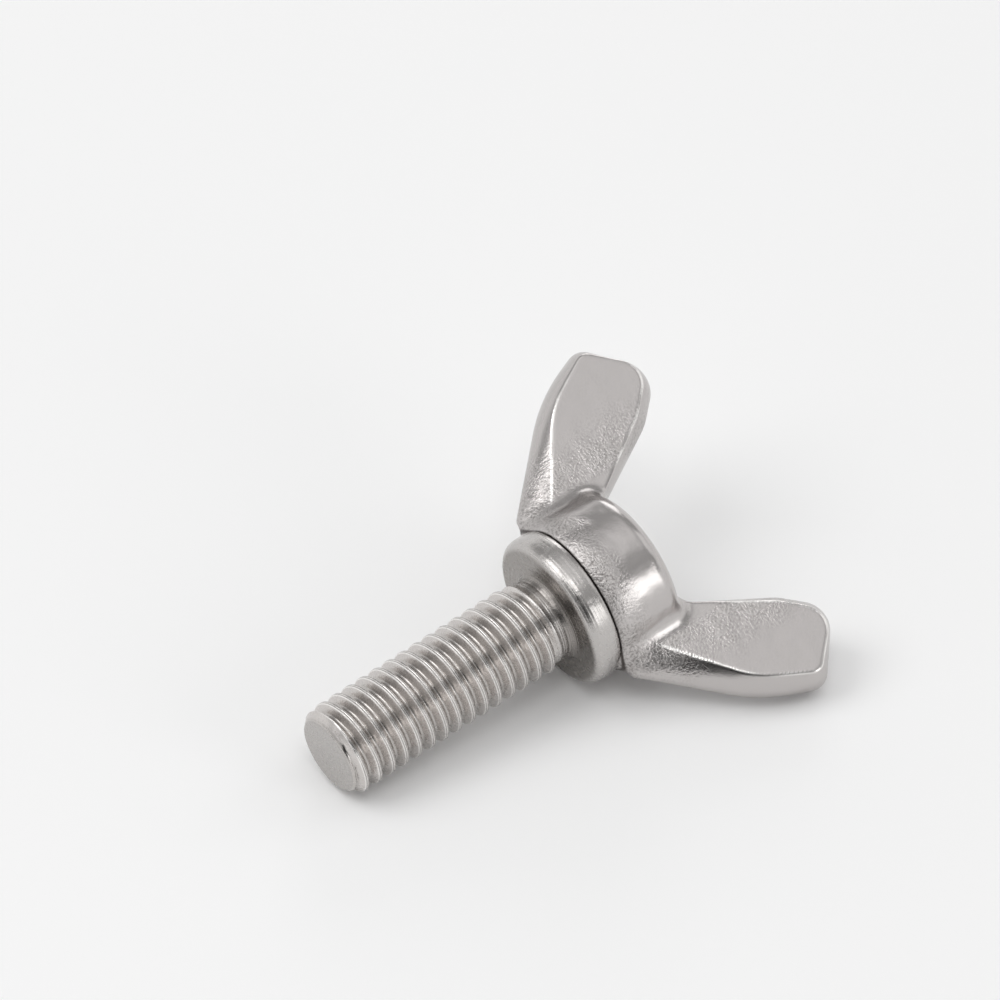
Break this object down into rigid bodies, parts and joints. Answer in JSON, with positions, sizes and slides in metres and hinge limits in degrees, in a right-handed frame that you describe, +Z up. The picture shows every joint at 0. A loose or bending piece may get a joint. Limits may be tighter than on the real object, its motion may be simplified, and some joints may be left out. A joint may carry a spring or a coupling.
{
  "type": "wing screw",
  "caption": "Screw with a coarse thread, a round collar and a hub that spreads into wings in a shallow V, for tightening a joint by hand.",
  "frame": {"origin": "middle of the underside of the box round the screw as it lies on a flat surface", "axes": "+Z up; the screw's axis lies over +X, with the tip towards -X and the wings at the +X end, and rises 6.9 degrees towards the wings; one wing dips towards -Y"},
  "size_m": [0.0312, 0.0238, 0.0123],
  "materials": {
    "formed_steel": "smooth cold-formed and rolled stainless steel",
    "cast_steel": "satin tumbled casting, pebbled beside the seam and at the wing roots"
  },
  "bodies": {
    "root": {"threaded_screw": "formed_steel", "wing_head": "cast_steel"}
  },
  "joints": []
}
